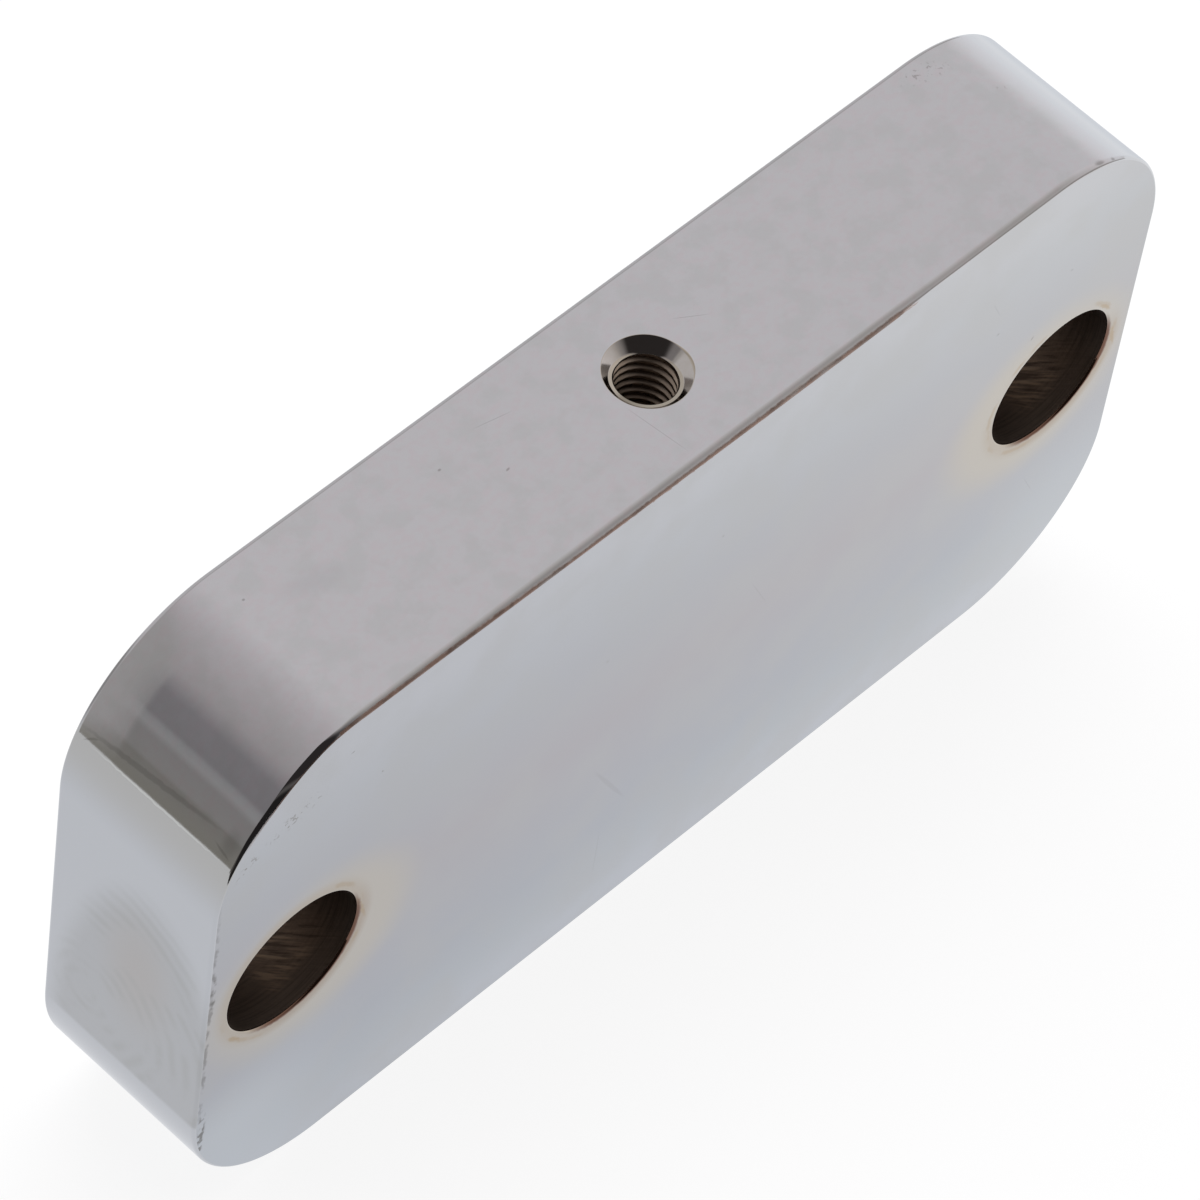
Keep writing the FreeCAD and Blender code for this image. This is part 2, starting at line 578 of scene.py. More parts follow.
def ramp(tree, value, stops):
    node = addNode(tree, "ShaderNodeValToRGB", {0: value})
    while len(node.color_ramp.elements) < len(stops):
        node.color_ramp.elements.new(0.5)
    for element, (position, tone) in zip(node.color_ramp.elements, stops):
        element.position = position
        element.color = hexColor(tone)
    return node.outputs["Color"]


def setMetal(tree, shader, tone, roughness):
    # roughness: a number, or another node's output
    tree.links.new(tone, shader.inputs["Base Color"])
    shader.inputs["Metallic"].default_value = 1.0
    if isinstance(roughness, bpy.types.NodeSocket):
        tree.links.new(roughness, shader.inputs["Roughness"])
    else:
        shader.inputs["Roughness"].default_value = roughness


def fromBoltHole(tree, x, z):
    # -1 on the left and 1 on the right, then the distance from the nearer bolt hole's axis along x and z
    side = addNode(tree, "ShaderNodeMath", {0: x}, operation="SIGN").outputs[0]
    offX = combine(tree, "SUBTRACT", x, combine(tree, "MULTIPLY", side, boltHole["fromMiddle"]))
    offZ = combine(tree, "SUBTRACT", z, boltHole["z"])
    return side, offX, offZ


# Bright chrome on the two broad faces. Buffing leaves a mirror with a faint cloudy haze. The tone
# changes with height, neutral across the middle beside bluish upper and lower parts, and round the
# bolt holes the nickel under it gives a beige halo. Pits, stains and fine scratches are on the front only.
broadChrome = {
    "byHeight": [(0.03, "#BBBEC4"), (0.12, "#B3B7BC"), (0.22, "#AEB1B7"), (0.5, "#B1AEB1"),
                 (0.7, "#B2B3B7"), (0.85, "#B8BABE"), (0.95, "#BEBFC3")],
    "cloudy": "#B5B5B5",
    "halo": "#BFB8AC",
    "haloSpots": [(-55.0, 0, 36.6, 17.5, 15.5, 0), (55.4, 0, 37.0, 17.0, 15.5, 0)],
    "nearRim": "#B3A797",
    "lowEnds": "#C6CACF",
    "drip": "#A8916F",
    "rimBrown": "#6E4A3C",
    "lowRim": "#9A8775",
    "copper": "#94705F",
    "pitGrey": "#5C5953",
    "pitBrown": "#77726A",
    "scratch": "#8C8A8A",
    "roughness": (0.06, 0.11),
    "edgeLine": [(-69.45, -11.4, 38.0, 27.0, 0.42, 90)],
    "edgePits": [(-69.1, -11.4, 17.0, 5.5, 0.8, 88), (-69.2, -11.4, 44.0, 4.0, 0.5, 90)],
    "stains": [(-48.0, -11.4, 38.8, 3.6, 0.4, -72), (-65.4, -11.4, 31.6, 1.8, 0.35, -48),
               (67.6, -11.4, 37.2, 2.6, 0.45, -75), (64.9, -11.4, 44.4, 2.0, 0.35, -48)],
    "pitPatches": [(-59.5, -11.4, 66.0, 5.2, 1.5, 15), (-66.0, -11.4, 63.2, 2.4, 1.1, 40)],
    "pits": [(-52.2, -11.4, 70.1, 0.3, 0.2, 0), (-47.3, -11.4, 62.2, 0.25, 0.2, 0),
             (-13.5, -11.4, 49.9, 0.3, 0.22, 0), (2.8, -11.4, 57.5, 0.22, 0.2, 0),
             (45.2, -11.4, 55.8, 0.3, 0.2, 0), (52.0, -11.4, 49.6, 0.5, 0.22, 70),
             (56.5, -11.4, 57.6, 0.25, 0.22, 0)],
    "scratches": [(44.0, -11.4, 61.0, 2.3, 0.09, -63), (11.0, -11.4, 40.0, 4.5, 0.08, -63),
                  (-9.8, -11.4, 11.5, 5.6, 0.08, 90), (57.8, -11.4, 18.5, 2.8, 0.09, -63),
                  (-9.5, -11.4, 24.0, 7.0, 0.35, -60)],
}


def makeBroadChrome():
    look = broadChrome
    material, tree, shader, place = newMaterial("buffed_chrome_broad_face")
    axes = addNode(tree, "ShaderNodeSeparateXYZ", {0: place})
    x, y, z = (axes.outputs[name] for name in "XYZ")
    height = combine(tree, "DIVIDE", z, block["height"])
    plate = ramp(tree, height, look["byHeight"])
    cloud = noiseValue(tree, place, 0.12, 4.0)
    grain = noiseValue(tree, place, 1.3, 3.0)
    _, offX, offZ = fromBoltHole(tree, x, z)
    fromAxis = addNode(tree, "ShaderNodeCombineXYZ", {"X": offX, "Z": offZ}).outputs[0]
    radius = addNode(tree, "ShaderNodeVectorMath", {0: fromAxis}, operation="LENGTH").outputs["Value"]
    lowerRight = addNode(tree, "ShaderNodeVectorMath", {0: fromAxis, 1: (0.07, 0, -0.08)},
                         operation="DOT_PRODUCT").outputs["Value"]
    halo = flawMask(tree, place, look["haloSpots"], "Y", 0.6, 1000.0)
    nearRim = gate(tree, radius, 11.6, 9.6)
    lowRim = combine(tree, "MULTIPLY", nearRim, gate(tree, lowerRight, 0.1, 0.9))
    # the halo of the right hole is paler above
    paler = combine(tree, "MULTIPLY", gate(tree, x, 0.0, 1.0), gate(tree, offZ, -3.0, 4.0))
    upperRim = combine(tree, "MULTIPLY", nearRim, combine(tree, "SUBTRACT", 1.0, paler))
    rimEdge = combine(tree, "ADD", radius, combine(tree, "MULTIPLY", grain, 0.5))
    rimLine = combine(tree, "MULTIPLY", gate(tree, rimEdge, 9.95, 9.6),
                      gate(tree, lowerRight, 0.1, 0.6))
    dripRing = combine(tree, "MULTIPLY", gate(tree, rimEdge, 9.95, 10.3),
                       gate(tree, rimEdge, 10.9, 10.5))
    dripGate = gate(tree, noiseValue(tree, place, 0.16, 2.0), 0.5, 0.6)
    front = gate(tree, y, -10.0, -11.0)
    wander = addNode(tree, "ShaderNodeTexNoise", {"Vector": place, "Scale": 1.6, "Detail": 3.0})
    ragged = addNode(tree, "ShaderNodeVectorMath", {
        0: wander.outputs["Color"], 1: (0.9, 0.9, 0.9), 2: place,
    }, operation="MULTIPLY_ADD").outputs[0]
    ragged = addNode(tree, "ShaderNodeVectorMath", {0: ragged, 1: (0.45, 0.45, 0.45)},
                     operation="SUBTRACT").outputs[0]
    edgeLine = flawMask(tree, ragged, look["edgeLine"], "Y", 0.3)
    edgeBreaks = gate(tree, noiseValue(tree, place, 0.55, 4.0), 0.42, 0.6)
    lowerPits = flawMask(tree, ragged, look["edgePits"], "Y")
    pitGrain = gate(tree, noiseValue(tree, place, 1.1, 3.0), 0.47, 0.6)
    finePits = gate(tree, noiseValue(tree, place, 1.9, 2.0), 0.56, 0.64)
    fromMiddle = addNode(tree, "ShaderNodeMath", {0: x}, operation="ABSOLUTE").outputs[0]
    lowEnds = combine(tree, "MULTIPLY", gate(tree, fromMiddle, 44.0, 66.0), gate(tree, z, 27.0, 13.0))
    lowEnds = combine(tree, "MULTIPLY", lowEnds, combine(tree, "SUBTRACT", 0.7, combine(
        tree, "MULTIPLY", gate(tree, x, 0.0, 1.0), 0.4)))
    # ragged lower border of the worn copper
    raggedZ = addNode(tree, "ShaderNodeSeparateXYZ", {0: ragged}).outputs["Z"]
    copper = combine(tree, "MULTIPLY", gate(tree, raggedZ, 74.6, 74.8), front,
                     gate(tree, x, 29.5, 28.5), gate(tree, x, -24.0, -6.0))
    tone = layTones(tree, plate, [
        (gate(tree, cloud, 0.35, 0.7), 0.45, look["cloudy"]),
        (lowEnds, 1.0, look["lowEnds"]),
        (halo, 0.8, look["halo"]),
        (upperRim, 0.7, look["nearRim"]),
        (lowRim, 0.45, look["lowRim"]),
        (flawMask(tree, ragged, look["stains"], "Y", 0.4), 0.6, look["drip"]),
        (combine(tree, "MULTIPLY", dripRing, dripGate), 0.4, look["drip"]),
        (rimLine, 0.85, look["rimBrown"]),
        (copper, 0.8, look["copper"]),
        (combine(tree, "MULTIPLY", edgeLine, edgeBreaks, front), 0.55, look["pitGrey"]),
        (combine(tree, "MULTIPLY", lowerPits, pitGrain, front), 0.8, look["pitGrey"]),
        (flawMask(tree, ragged, look["pits"], "Y", 0.2), 0.5, look["pitBrown"]),
        (combine(tree, "MULTIPLY", flawMask(tree, place, look["pitPatches"], "Y", 0.3), finePits), 0.6,
         look["pitBrown"]),
        (flawMask(tree, place, look["scratches"], "Y"), 0.16, look["scratch"]),
    ])
    haze = addNode(tree, "ShaderNodeMapRange", {
        "Value": cloud, "From Min": 0.3, "From Max": 0.7,
        "To Min": look["roughness"][0], "To Max": look["roughness"][1],
    })
    setMetal(tree, shader, tone, haze.outputs[0])
    return material


# Bright chrome round the edge. The upper face is buffed along its length and shows a fine mottle with a
# few pits; the left end keeps a hazy patch where the polishing disc stopped, with its curved marks.
edgeChrome = {
    "plate": "#C0BFC1",
    "pink": "#C2BABD",
    "grey": "#B8B9B9",
    "thick": "#CCCDD0",
    "creaseTone": "#C2C0BC",
    "rightEnd": "#C8CACE",
    "haze": "#BCBCBD",
    "warmHaze": "#BCB7B3",
    "discMark": "#B0B0AD",
    "cloudTone": "#A9A9AA",
    "speck": "#77726F",
    "hairline": "#8D898A",
    "cornerDark": "#5E5C57",
    "creaseLight": "#E3E4DE",
    "nick": "#55504A",
    "roughness": 0.06,
    "hazeShape": (-70.0, -2.5, 19.3, 14.0, 34.0, 0),
    "warmSpot": (-70.0, -1.5, 37.0, 7.0, 14.0, 0),
    "discCentre": (-70.0, 5.0, 26.0),
    "cloud": [(-43.8, 3.6, 75.8, 5.5, 2.4, -12)],
    "speckPatches": [(51.5, 9.0, 75.6, 4.2, 1.6, -12), (57.0, 2.6, 75.0, 1.0, 0.7, 0)],
    "specks": [(-50.6, 6.5, 75.8, 0.25, 0.2, 0), (-19.2, 0.7, 75.8, 0.4, 0.18, 10),
               (-24.5, 5.2, 75.8, 0.3, 0.2, 0)],
    "hairlines": [(-4.1, -5.7, 75.8, 4.9, 0.07, -84), (9.0, 2.3, 75.8, 2.4, 0.07, -32),
                  (-16.0, 6.2, 75.8, 3.0, 0.06, -12)],
    # painted reflection: a dark line along the upper border of the wedge reflected on the left corner,
    # small dark loops at its two ends, and a dark soft spot at its front end
    "cornerLines": [(10.35, 1.4, 0, 11.5, 0.45, -85), (8.9, 9.3, 0, 1.3, 0.16, -50),
                    (9.4, -9.3, 0, 1.4, 0.2, 75)],
    "cornerShade": [(10.6, -9.8, 0, 2.4, 1.4, 0)],
    "backLine": [(15.0, 11.35, 0, 7.0, 0.5, 0)],
    # painted highlight: a thin light line along the crease, where the table's edge is reflected
    "crease": [(8.3, -0.5, 0, 11.5, 0.16, 90)],
    "nicks": [(57.6, -11.0, 74.4, 1.1, 0.16, -22), (59.8, -11.0, 73.4, 0.5, 0.12, -30)],
}


def makeEdgeChrome():
    look = edgeChrome
    material, tree, shader, place = newMaterial("buffed_chrome_edge")
    axes = addNode(tree, "ShaderNodeSeparateXYZ", {0: place})
    x, y, z = (axes.outputs[name] for name in "XYZ")
    cloud = noiseValue(tree, place, 0.3, 6.0)
    mottle = noiseValue(tree, place, 0.9, 5.0, (1.0, 1.3, 1.0))
    onLeft = gate(tree, x, -45.0, -60.0)
    thick = combine(tree, "MULTIPLY", gate(tree, z, 67.0, 64.3), onLeft)
    nearCrease = combine(tree, "MULTIPLY", gate(tree, z, 57.0, 64.0), thick)
    endFace = gate(tree, x, -69.3, -69.8)
    hazeMask = combine(tree, "MULTIPLY", flawMask(tree, place, [look["hazeShape"]], "X", 0.75),
                       gate(tree, z, 18.6, 19.6), endFace)
    warmPart = combine(tree, "MULTIPLY", flawMask(tree, place, [look["warmSpot"]], "X", 0.1), endFace)
    marks = addNode(tree, "ShaderNodeVectorMath", {0: place, 1: look["discCentre"]},
                    operation="SUBTRACT").outputs[0]
    arcs = addNode(tree, "ShaderNodeTexWave", {
        "Vector": marks, "Scale": 0.16, "Distortion": 5.0, "Detail": 3.0, "Detail Scale": 0.4,
    }, wave_type="RINGS", rings_direction="X").outputs[1]
    arcPatches = gate(tree, noiseValue(tree, place, 0.15, 3.0), 0.4, 0.6)
    # unrolled corner: millimetres along the arc from the left end, and y
    cornerX = block["cornerRadius"] - block["halfLength"]
    cornerZ = block["height"] - block["cornerRadius"]
    turn = addNode(tree, "ShaderNodeMath", {
        0: combine(tree, "SUBTRACT", z, cornerZ), 1: combine(tree, "SUBTRACT", cornerX, x),
    }, operation="ARCTAN2").outputs[0]
    unrolled = addNode(tree, "ShaderNodeCombineXYZ", {
        "X": combine(tree, "MULTIPLY", turn, block["cornerRadius"]), "Y": y,
    }).outputs[0]
    onCorner = combine(tree, "MULTIPLY", gate(tree, x, cornerX, cornerX - 0.1),
                       gate(tree, z, cornerZ, cornerZ + 0.1))
    jitter = combine(tree, "MULTIPLY", noiseValue(tree, place, 0.9, 4.0, (0.0, 1.0, 0.0)), 0.5)
    shift = addNode(tree, "ShaderNodeCombineXYZ", {"X": combine(tree, "SUBTRACT", jitter, 0.25)})
    raggedCorner = addNode(tree, "ShaderNodeVectorMath", {0: unrolled, 1: shift.outputs[0]},
                           operation="ADD").outputs[0]
    # painted reflection: the reflected wedge's dark border line, its end loops and the dark spot at its
    # front end
    cornerLines = combine(tree, "MULTIPLY", onCorner,
                          flawMask(tree, raggedCorner, look["cornerLines"], "Z"))
    # painted highlight along the crease line
    crease = combine(tree, "MULTIPLY", onCorner, flawMask(tree, raggedCorner, look["crease"], "Z", 0.4))
    cornerShade = combine(tree, "MULTIPLY", onCorner,
                          flawMask(tree, unrolled, look["cornerShade"], "Z", 0.2))
    backLine = combine(tree, "MULTIPLY", onCorner, flawMask(tree, unrolled, look["backLine"], "Z", 0.5))
    speckGrain = gate(tree, noiseValue(tree, place, 2.1, 2.0), 0.58, 0.66)
    speckPatches = combine(tree, "MULTIPLY", speckGrain,
                           flawMask(tree, place, look["speckPatches"], "Z", 0.3, 2.0))
    tone = layTones(tree, hexColor(look["plate"]), [
        (gate(tree, mottle, 0.4, 0.66), 0.5, look["pink"]),
        (gate(tree, cloud, 0.44, 0.64), 0.5, look["grey"]),
        (thick, 1.0, look["thick"]),
        (gate(tree, x, 57.0, 61.0), 1.0, look["rightEnd"]),
        (nearCrease, 0.9, look["creaseTone"]),
        (hazeMask, 0.9, look["haze"]),
        (warmPart, 0.75, look["warmHaze"]),
        (combine(tree, "MULTIPLY", hazeMask, arcs, arcPatches), 0.4, look["discMark"]),
        (flawMask(tree, place, look["cloud"], "Z", 0.1), 0.3, look["cloudTone"]),
        (flawMask(tree, place, look["specks"], "Z", 0.3, 2.0), 0.5, look["speck"]),
        (speckPatches, 0.42, look["speck"]),
        (flawMask(tree, place, look["hairlines"], "Z", 0.5, 1.0), 0.3, look["hairline"]),
        (cornerShade, 0.22, look["cornerDark"]),
        (backLine, 0.6, look["cornerDark"]),
        (cornerLines, 0.24, look["cornerDark"]),
        (crease, 0.5, look["creaseLight"]),
        (flawMask(tree, place, look["nicks"], "Y", 0.3, 0.8), 0.45, look["nick"]),
    ])
    setMetal(tree, shader, tone, look["roughness"])
    ripple = addNode(tree, "ShaderNodeBump", {
        "Height": noiseValue(tree, place, 0.45, 3.0), "Strength": 0.35, "Distance": 0.00001,
    })
    tree.links.new(ripple.outputs[0], shader.inputs["Normal"])
    return material


# Copper showing where the wheel went through chrome and nickel along the front upper edge: a thin
# reddish line, darker where it has tarnished, with bits of bright plate left between.
wornCopper = {
    "bright": "#BFBEC1",
    "copper": "#AA8F83",
    "tarnish": "#7D6C65",
    "plate": "#B9B1AE",
    "roughness": (0.1, 0.45),
}


def makeWornCopper():
    look = wornCopper
    material, tree, shader, place = newMaterial("worn_copper_edge")
    axes = addNode(tree, "ShaderNodeSeparateXYZ", {0: place})
    x = axes.outputs["X"]
    spots = noiseValue(tree, place, 0.5, 5.0)
    breaks = noiseValue(tree, place, 0.25, 4.0)
    # the wear starts and ends gradually, with a ragged border
    along = combine(tree, "ADD", x, combine(tree, "MULTIPLY", noiseValue(tree, place, 0.8, 3.0), 3.0))
    worn = combine(tree, "MULTIPLY", gate(tree, along, -65.5, -59.0), gate(tree, along, 31.0, 27.5))
    # on the straight edge it keeps to the lower part of the rounding
    below = combine(tree, "SUBTRACT", block["height"], axes.outputs["Z"])
    higherLeft = combine(tree, "MULTIPLY", gate(tree, x, -18.0, -42.0), 0.35)
    below = combine(tree, "ADD", below, higherLeft,
                    combine(tree, "MULTIPLY", noiseValue(tree, place, 1.6, 3.0), 0.4))
    lower = combine(tree, "MAXIMUM", gate(tree, below, 0.6, 0.95), gate(tree, x, -50.5, -52.0))
    worn = combine(tree, "MULTIPLY", worn, lower)
    tone = layTones(tree, hexColor(look["bright"]), [
        (worn, 1.0, look["copper"]),
        (combine(tree, "MULTIPLY", gate(tree, spots, 0.45, 0.65), worn), 0.7, look["tarnish"]),
        (gate(tree, breaks, 0.52, 0.68), 0.7, look["plate"]),
    ])
    dull = addNode(tree, "ShaderNodeMapRange", {
        "Value": worn, "To Min": look["roughness"][0], "To Max": look["roughness"][1],
    })
    setMetal(tree, shader, tone, dull.outputs[0])
    return material


# Bored steel with almost no plate, browned. The reamer left slanting chatter marks roughly half a
# millimetre apart; across the middle of the wall a painted highlight band lies over them, with painted tan
# glints along the marks. Finer rings run round the bore.
boreWall = {
    "brown": "#94877D",
    "tan": "#C4B09B",
    "dark": "#5E534B",
    "lit": "#A08C7C",
    "markPitch": 0.43,
    "markSlope": (0.877, 0.672),    # round the bore and along it
    "roughness": 0.4,
}


def makeBoreWall():
    look = boreWall
    material, tree, shader, place = newMaterial("bored_steel_thin_plate")
    axes = addNode(tree, "ShaderNodeSeparateXYZ", {0: place})
    x, y, z = (axes.outputs[name] for name in "XYZ")
    side, offX, offZ = fromBoltHole(tree, x, z)
    turn = addNode(tree, "ShaderNodeMath", {0: offZ, 1: offX}, operation="ARCTAN2").outputs[0]
    roundBore = combine(tree, "MULTIPLY", turn, boltHole["radius"])
    around, along = look["markSlope"]
    across = combine(tree, "ADD", combine(tree, "MULTIPLY", roundBore, around),
                     combine(tree, "MULTIPLY", y, along))
    lengthwise = combine(tree, "SUBTRACT", combine(tree, "MULTIPLY", roundBore, along),
                         combine(tree, "MULTIPLY", y, around))
    marked = addNode(tree, "ShaderNodeCombineXYZ", {"X": across, "Y": lengthwise, "Z": side}).outputs[0]
    streaks = noiseValue(tree, marked, 1.0, 2.0, (1 / look["markPitch"], 0.22, 5.0))
    slowTurn = combine(tree, "MULTIPLY", roundBore, 0.04)
    rings = addNode(tree, "ShaderNodeCombineXYZ", {"X": slowTurn, "Y": y}).outputs[0]
    fine = noiseValue(tree, rings, 3.5, 3.0)
    # painted highlight: the bright band across the middle of the wall
    highlightBand = combine(tree, "MULTIPLY", gate(tree, y, -9.6, -7.8), gate(tree, turn, -1.65, -1.4),
                   gate(tree, turn, -0.3, -0.75))
    marks = combine(tree, "MULTIPLY", highlightBand, gate(tree, turn, -0.7, -1.1))
    # the lighter tone over the band is a painted highlight, and the tan streaks within it are painted
    # glints along the chatter marks
    tone = layTones(tree, hexColor(look["brown"]), [
        (gate(tree, fine, 0.35, 0.7), 0.5, look["dark"]),
        (highlightBand, 0.5, look["lit"]),
        (combine(tree, "MULTIPLY", gate(tree, streaks, 0.48, 0.62), marks), 0.9, look["tan"]),
        (combine(tree, "MULTIPLY", gate(tree, streaks, 0.46, 0.36), highlightBand), 0.6, look["dark"]),
    ])
    setMetal(tree, shader, tone, look["roughness"])
    ridges = addNode(tree, "ShaderNodeBump", {"Height": streaks, "Strength": 0.6, "Distance": 0.00004})
    tree.links.new(ridges.outputs[0], shader.inputs["Normal"])
    return material


# Turned nickel in the countersink: bright and smooth, with a slight warm cast that comes in patches.
sinkNickel = {
    "bright": "#C0BCB9",
    "warm": "#B7B0AA",
    "burnished": "#B3AA9D",
    "roughness": 0.1,
}


def makeSinkNickel():
    material, tree, shader, place = newMaterial("countersunk_nickel")
    cloud = noiseValue(tree, place, 1.5, 3.0)
    # the ledge, whose normal is nearly upright, was rubbed to a slightly warmer tone than the cone
    normal = addNode(tree, "ShaderNodeNewGeometry", {}).outputs["Normal"]
    upright = addNode(tree, "ShaderNodeSeparateXYZ", {0: normal}).outputs[2]
    tone = layTones(tree, hexColor(sinkNickel["bright"]), [
        (cloud, 1.0, sinkNickel["warm"]),
        (gate(tree, upright, 0.8, 0.92), 1.0, sinkNickel["burnished"]),
    ])
    setMetal(tree, shader, tone, sinkNickel["roughness"])
    return material


# Tapped thread under a thin flash of nickel: the plating bath hardly reaches it, so it stays warm and
# dull.
threadNickel = {
    "flash": "#AFA193",
    "dull": "#978778",
    "roughness": 0.33,
}


def makeThreadNickel():
    material, tree, shader, place = newMaterial("tapped_thread_nickel")
    cloud = noiseValue(tree, place, 2.0, 4.0)
    tone = layTones(tree, hexColor(threadNickel["flash"]), [(cloud, 1.0, threadNickel["dull"])])
    setMetal(tree, shader, tone, threadNickel["roughness"])
    return material


finishes = [makeEdgeChrome(), makeBroadChrome(), makeWornCopper(), makeBoreWall(), makeSinkNickel(),
            makeThreadNickel()]
platedBlock = buildBlock(finishes)
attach(platedBlock, "root")
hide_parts("mounting_block")
print("block built:", len(shell["faces"]), "faces")

# Studio: a small white table in a room that is dark on the camera's side, and one soft lamp
studio = {
    "tableX": (-0.365, 0.54),    # its left and right edges show as sharp lines in the rounded corners
    "tableY": (-0.1, 4.0),       # its front edge shows in the ground facet
    "tableWhite": "#F4F4F6",
    # as the metal sees it, from x -0.12 to 0.14, painted light that grows towards the right; and behind
    # the block, darker beyond its right end: a painted shadow of the block
    "byX": [(0.1, "#E0E2E6"), (0.5, "#EFF0F3"), (0.85, "#FFFFFF")],
    "beyond": [(0.4, "#FFFFFF"), (0.6, "#C9CED5"), (0.72, "#DEE1E7"), (0.89, "#F4F7FA"),
               (1.0, "#FCFDFF")],
    "darkAzimuth": -135.0,       # middle of the dark side, degrees from +Y towards +X
    "darkElevation": 15.0,
    # towards the dark side, from away (0) to straight at it (1)
    "darkSide": [(0.29, "#F4F1F2"), (0.43, "#E9E6E6"), (0.55, "#DAD7D5"), (0.62, "#C8C4C1"),
                 (0.66, "#B5B2B0"), (0.73, "#989595"), (0.81, "#353232")],
    "floorTones": ("#ABA7A3", "#2A2828"),   # past the table: on the right, and on the left in the dark
    # behind the block, turning about its length: wall, lit strip, doorway, ceiling, far wall
    "behind": [(0.225, "#8F8D88"), (0.262, "#8F8D88"), (0.268, "#9B9997"), (0.305, "#989695"),
               (0.317, "#A8A8A8"), (0.328, "#A2A2A3"), (0.336, "#918F91"), (0.38, "#969396"),
               (0.415, "#BAB6B7"), (0.5, "#D7D3D5"), (0.55, "#ECEAEC"), (0.7, "#EFEEF0"),
               (0.735, "#FCFBFD")],
    "backWall": ("#BDBBBA", "#DEDDDE"),     # straight behind, past the doorway
    # where one part of the room passes into the next, along a direction's x, y or z
    "horizon": (-0.03, -0.35),
    "floorSplit": (0.4, 0.34),
    "backWallFrom": ((0.4, 0.48), (0.5, 0.62)),
    "behindFrom": (0.0, 0.28),
    # the table by x in metres: beside the block, and past its right end
    "besideBlock": (-0.12, 0.14),
    "pastBlock": (-0.12, 0.24),
    "tableDrop": 0.00005,        # just under the block, so that the two don't share a plane
    "cameraGlow": 0.8,           # share of glow that the camera sees; the rest is paper that takes shadow
    "cameraWhite": (1.09, 1.09, 1.09, 1.0),
}


def makeTable():
    (left, right), (front, back) = studio["tableX"], studio["tableY"]
    corners = [(left, front, 0), (right, front, 0), (right, back, 0), (left, back, 0)]
    mesh = bpy.data.meshes.new("table")
    mesh.from_pydata(corners, [], [(0, 1, 2, 3)])
    table = bpy.data.objects.new("table", mesh)
    table.location.z = -studio["tableDrop"]
    bpy.context.scene.collection.objects.link(table)
    material = bpy.data.materials.new("white_table")
    material.use_nodes = True
    tree = material.node_tree
    tree.nodes.clear()
    path = addNode(tree, "ShaderNodeLightPath")
    metalSees = combine(tree, "MAXIMUM", path.outputs["Is Glossy Ray"],
                        path.outputs["Is Transmission Ray"])
    cameraSees = combine(tree, "MULTIPLY", path.outputs["Is Camera Ray"], studio["cameraGlow"])
    share = combine(tree, "MAXIMUM", metalSees, cameraSees)
    spot = addNode(tree, "ShaderNodeTexCoord")
    axes = addNode(tree, "ShaderNodeSeparateXYZ", {0: spot.outputs["Object"]})
    acrossTable, furtherOn = [addNode(tree, "ShaderNodeMapRange", {
        "Value": axes.outputs["X"], "From Min": start, "From Max": end,
    }) for start, end in (studio["besideBlock"], studio["pastBlock"])]
    behindFront = gate(tree, axes.outputs["Y"], 0.0, 0.01)
    # for glossy rays: painted light that grows across the table towards the right, and a painted shadow of
    # the block behind it
    glossyTone = addNode(tree, "ShaderNodeMix", {
        "Factor": behindFront, "A": ramp(tree, acrossTable.outputs[0], studio["byX"]),
        "B": ramp(tree, furtherOn.outputs[0], studio["beyond"]),
    }, data_type="RGBA", blend_type="MULTIPLY").outputs["Result"]
    tone = addNode(tree, "ShaderNodeMix", {
        "Factor": path.outputs["Is Camera Ray"], "A": glossyTone, "B": studio["cameraWhite"],
    }, data_type="RGBA")
    paper = addNode(tree, "ShaderNodeBsdfDiffuse", {"Color": hexColor(studio["tableWhite"])})
    glow = addNode(tree, "ShaderNodeEmission", {"Color": tone.outputs["Result"], "Strength": 1.0})
    mixed = addNode(tree, "ShaderNodeMixShader", {0: share, 1: paper.outputs[0], 2: glow.outputs[0]})
    addNode(tree, "ShaderNodeOutputMaterial", {"Surface": mixed.outputs[0]})
    mesh.materials.append(material)


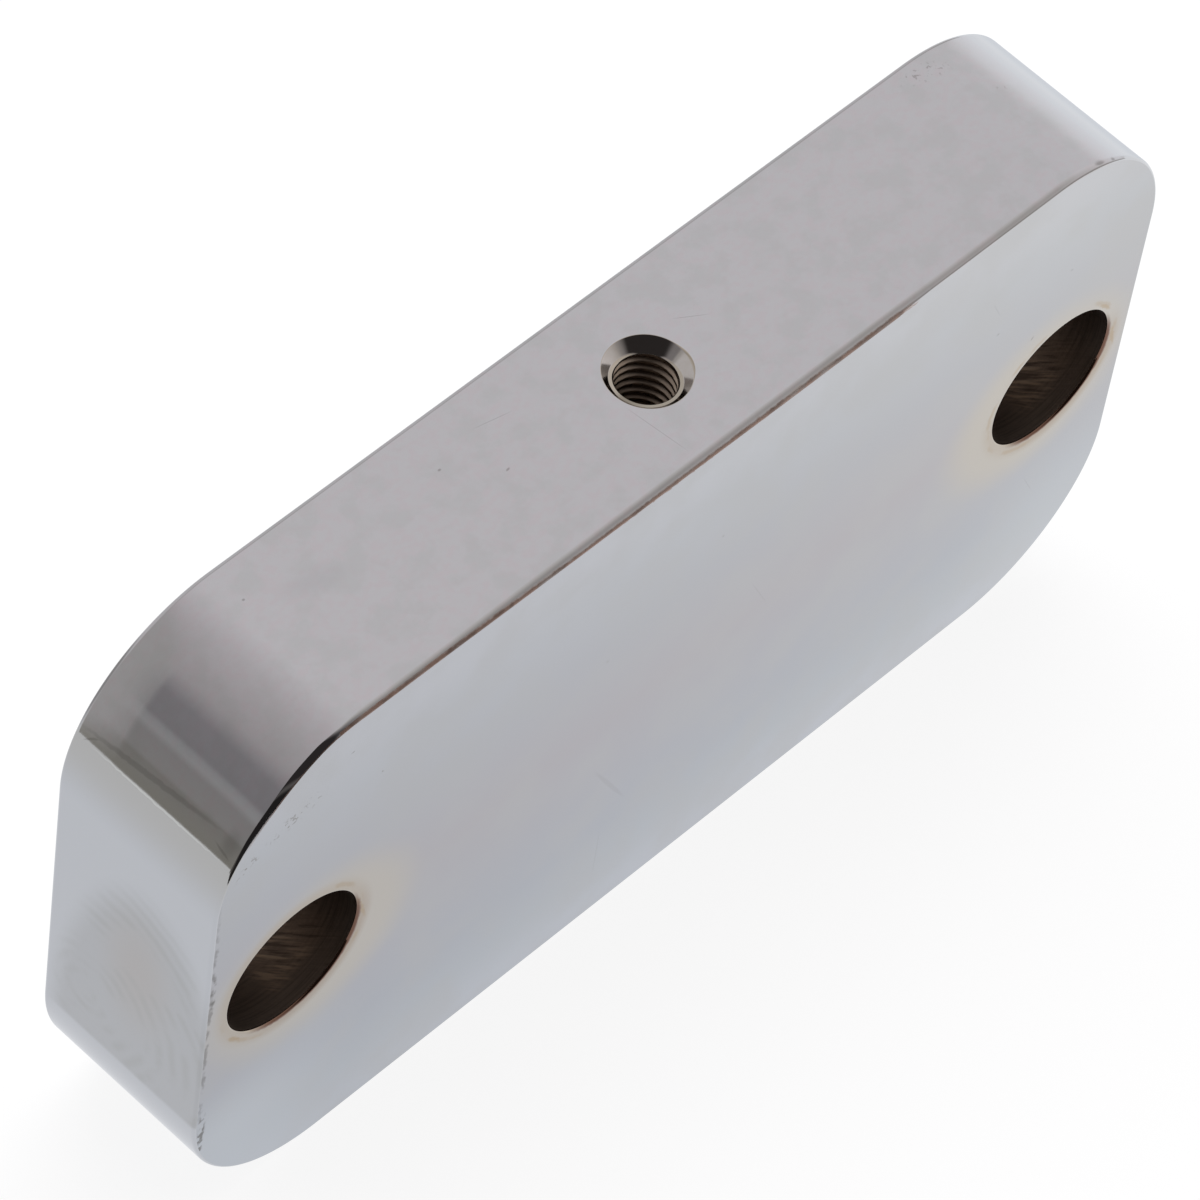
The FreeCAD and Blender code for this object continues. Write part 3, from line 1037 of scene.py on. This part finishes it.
def makeRoom():
    world = bpy.data.worlds.new("studio")
    bpy.context.scene.world = world
    world.use_nodes = True
    tree = world.node_tree
    tree.nodes.clear()
    azimuth, elevation = math.radians(studio["darkAzimuth"]), math.radians(studio["darkElevation"])
    darkSide = (math.sin(azimuth) * math.cos(elevation), math.cos(azimuth) * math.cos(elevation),
                math.sin(elevation))
    direction = addNode(tree, "ShaderNodeTexCoord").outputs["Generated"]
    axes = addNode(tree, "ShaderNodeSeparateXYZ", {0: direction})
    towardsDark = addNode(tree, "ShaderNodeVectorMath", {0: direction, 1: darkSide},
                          operation="DOT_PRODUCT").outputs["Value"]
    spread = addNode(tree, "ShaderNodeMapRange", {"Value": towardsDark, "From Min": -1.0})
    aroundRoom = ramp(tree, spread.outputs[0], studio["darkSide"])
    below = gate(tree, axes.outputs["Z"], *studio["horizon"])
    belowLeft = combine(tree, "MULTIPLY", below, gate(tree, axes.outputs["X"], *studio["floorSplit"]))
    aroundRoom = layTones(tree, aroundRoom, [
        (below, 1.0, studio["floorTones"][0]),
        (belowLeft, 1.0, studio["floorTones"][1]),
    ])
    about = addNode(tree, "ShaderNodeMath", {0: axes.outputs["X"], 1: axes.outputs["Z"]},
                    operation="ARCTAN2")
    swing = addNode(tree, "ShaderNodeMapRange", {
        "Value": about.outputs[0], "From Min": -math.pi, "From Max": math.pi,
    })
    behind = ramp(tree, swing.outputs[0], studio["behind"])
    behind = layTones(tree, behind, [
        (gate(tree, axes.outputs["Y"], *reach), 1.0, wallTone)
        for reach, wallTone in zip(studio["backWallFrom"], studio["backWall"])
    ])
    tones = addNode(tree, "ShaderNodeMix", {
        "Factor": gate(tree, axes.outputs["Y"], *studio["behindFrom"]), "A": aroundRoom, "B": behind,
    }, data_type="RGBA").outputs["Result"]
    path = addNode(tree, "ShaderNodeLightPath")
    tone = addNode(tree, "ShaderNodeMix", {
        "Factor": path.outputs["Is Camera Ray"], "A": tones, "B": hexColor("#FFFFFF"),
    }, data_type="RGBA")
    light = addNode(tree, "ShaderNodeBackground", {"Color": tone.outputs["Result"], "Strength": 1.0})
    addNode(tree, "ShaderNodeOutputWorld", {"Surface": light.outputs[0]})


softbox = {
    "place": (0.5, 0.6, 1.5),
    "size": 1.4,
    "energy": 14.0,
}


def makeLamp():
    data = bpy.data.lights.new("softbox", "AREA")
    data.shape = "SQUARE"
    data.size = softbox["size"]
    data.energy = softbox["energy"]
    lamp = bpy.data.objects.new("softbox", data)
    lamp.location = softbox["place"]
    lamp.rotation_euler = (Vector((0, 0, 0)) - lamp.location).to_track_quat("-Z", "Y").to_euler()
    lamp.visible_glossy = False
    bpy.context.scene.collection.objects.link(lamp)


makeTable()
makeRoom()
makeLamp()
print("studio made")

camera = {
    "target": (-0.001356, 0.0, 0.038166),
    "distance": 0.803886,
    "azimuth": 52.888,       # looking direction, degrees from +Y towards +X
    "elevation": 53.202,     # camera above the target
    "roll": -9.416,
    "lens": 227.619,
    "sensorWidth": 36.0,
    "clip": (0.05, 50.0),
}


def makeCamera():
    azimuth, elevation, roll = (math.radians(camera[key]) for key in ("azimuth", "elevation", "roll"))
    forward = Vector((math.sin(azimuth) * math.cos(elevation),
                      math.cos(azimuth) * math.cos(elevation), -math.sin(elevation)))
    level = forward.cross(Vector((0, 0, 1))).normalized()
    up = level.cross(forward) * math.cos(roll) + level * math.sin(roll)
    right = forward.cross(up)
    place = Vector(camera["target"]) - forward * camera["distance"]
    data = bpy.data.cameras.new("camera")
    data.lens = camera["lens"]
    data.sensor_width = camera["sensorWidth"]
    data.clip_start, data.clip_end = camera["clip"]
    eye = bpy.data.objects.new("camera", data)
    axes = Matrix((right, up, -forward)).transposed().to_4x4()
    eye.matrix_world = Matrix.Translation(place) @ axes
    bpy.context.scene.collection.objects.link(eye)
    bpy.context.scene.camera = eye


makeCamera()
bpy.context.scene.view_settings.view_transform = "Standard"
print("camera set")
